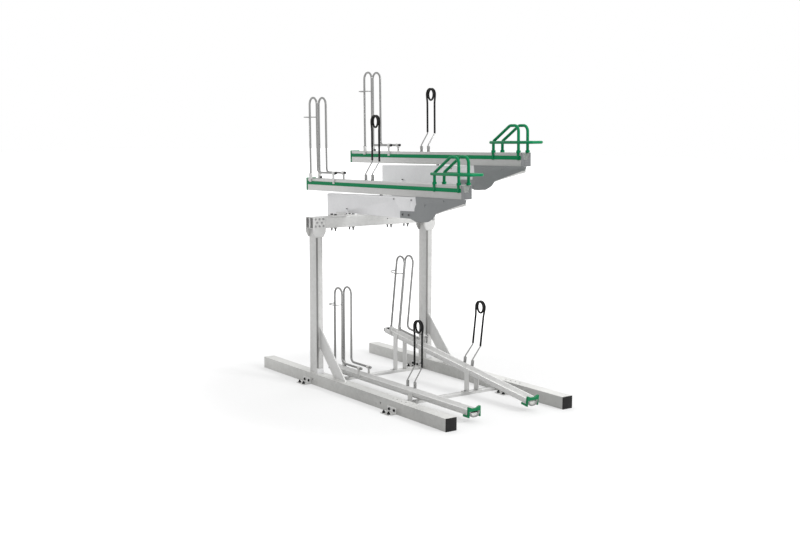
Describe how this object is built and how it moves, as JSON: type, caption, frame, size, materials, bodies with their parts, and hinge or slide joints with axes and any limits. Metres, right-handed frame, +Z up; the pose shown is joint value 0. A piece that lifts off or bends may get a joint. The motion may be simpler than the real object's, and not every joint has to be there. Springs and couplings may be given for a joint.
{
  "type": "two tier bike rack",
  "caption": "Two tier bicycle parking rack: level and sloped wheel trays on the floor, raised trays above that tilt down and draw out to the front.",
  "frame": {"origin": "on the floor under the middle of the rack's outline", "axes": "+X across the rack towards the higher lane, +Y along the trays from the user to the rear, +Z up"},
  "size_m": [1.216, 2.352, 2.3186],
  "materials": {
    "galvanised": "satin galvanised",
    "rail_zinc": "matt galvanised",
    "green_coat": "semi-gloss powder coat",
    "green_plastic": "moulded",
    "dark_sheet": "satin",
    "black_coat": "satin",
    "black_plastic": "matt",
    "black_rubber": "matt",
    "light_plastic": "matt"
  },
  "bodies": {
    "frame": {"near_rail": "rail_zinc", "far_rail": "rail_zinc", "front_rail_caps": "black_plastic", "rear_rail_caps": "light_plastic", "rear_crossbar": "galvanised", "front_crossbar": "galvanised", "floor_brackets": "galvanised", "floor_bolts": "black_coat", "base_bolts": "galvanised", "near_post": "galvanised", "far_post": "galvanised", "near_brace": "galvanised", "far_brace": "galvanised", "post_feet": "light_plastic", "head_plates": "galvanised", "head_bolts": "rail_zinc", "crossbeam": "galvanised", "clamp_plates": "galvanised", "clamp_bolts": "galvanised", "far_riser": "galvanised", "near_box": "galvanised", "far_box": "galvanised", "box_bolts": "galvanised", "hinge_brackets": "dark_sheet", "pivot_pins": "rail_zinc", "lift_struts": "black_coat", "rest_stops": "black_rubber", "low_tray": "galvanised", "sloped_tray": "galvanised", "low_end_caps": "green_plastic", "low_end_trims": "black_plastic", "low_hoops": "galvanised", "sloped_hoops": "galvanised", "low_fittings": "galvanised", "low_knobs": "black_plastic", "low_springs": "black_coat", "tray_supports": "galvanised"},
    "near_arm": {"near_arm": "galvanised", "near_arm_cover": "dark_sheet"},
    "near_rollers": {"near_rollers": "black_plastic"},
    "near_push_rod": {"near_push_rod": "rail_zinc"},
    "near_tray": {"near_tray": "galvanised", "near_tray_trim": "green_coat", "near_hoops": "galvanised", "near_fittings": "galvanised", "near_knobs": "black_plastic", "near_spring": "black_coat", "near_handle": "green_coat"},
    "far_arm": {"far_arm": "galvanised", "far_arm_cover": "dark_sheet"},
    "far_rollers": {"far_rollers": "black_plastic"},
    "far_push_rod": {"far_push_rod": "rail_zinc"},
    "far_tray": {"far_tray": "galvanised", "far_tray_trim": "green_coat", "far_hoops": "galvanised", "far_fittings": "galvanised", "far_knobs": "black_plastic", "far_spring": "black_coat", "far_handle": "green_coat"}
  },
  "joints": [
    {"name": "near_tilt", "type": "hinge", "parent": "frame", "child": "near_arm", "pos_m": [-0.25, -0.55966, 1.3346], "axis": [1, 0, 0], "range_deg": [0, 40]},
    {"name": "near_slide", "type": "slide", "parent": "near_arm", "child": "near_tray", "axis": [0, -0.9998, 0.0175], "range_m": [0, 1.1]},
    {"name": "near_roll", "type": "hinge", "parent": "near_arm", "child": "near_rollers", "pos_m": [-0.25, -0.92943, 1.46577], "axis": [1, 0, 0], "continuous": true},
    {"name": "near_push", "type": "slide", "parent": "frame", "child": "near_push_rod", "axis": [0, 0.9998, -0.0175], "range_m": [0, 0.026]},
    {"name": "far_tilt", "type": "hinge", "parent": "frame", "child": "far_arm", "pos_m": [0.25, -0.55966, 1.5346], "axis": [1, 0, 0], "range_deg": [0, 40]},
    {"name": "far_slide", "type": "slide", "parent": "far_arm", "child": "far_tray", "axis": [0, -0.9998, 0.0175], "range_m": [0, 1.1]},
    {"name": "far_roll", "type": "hinge", "parent": "far_arm", "child": "far_rollers", "pos_m": [0.25, -0.92943, 1.66577], "axis": [1, 0, 0], "continuous": true},
    {"name": "far_push", "type": "slide", "parent": "frame", "child": "far_push_rod", "axis": [0, 0.9998, -0.0175], "range_m": [0, 0.026]}
  ],
  "couplings": [
    {"joint": "near_roll", "follows": "near_slide", "rad_per_m": 58.824},
    {"joint": "near_push", "follows": "near_tilt", "m_per_rad": 0.035},
    {"joint": "far_roll", "follows": "far_slide", "rad_per_m": 58.824},
    {"joint": "far_push", "follows": "far_tilt", "m_per_rad": 0.035}
  ]
}
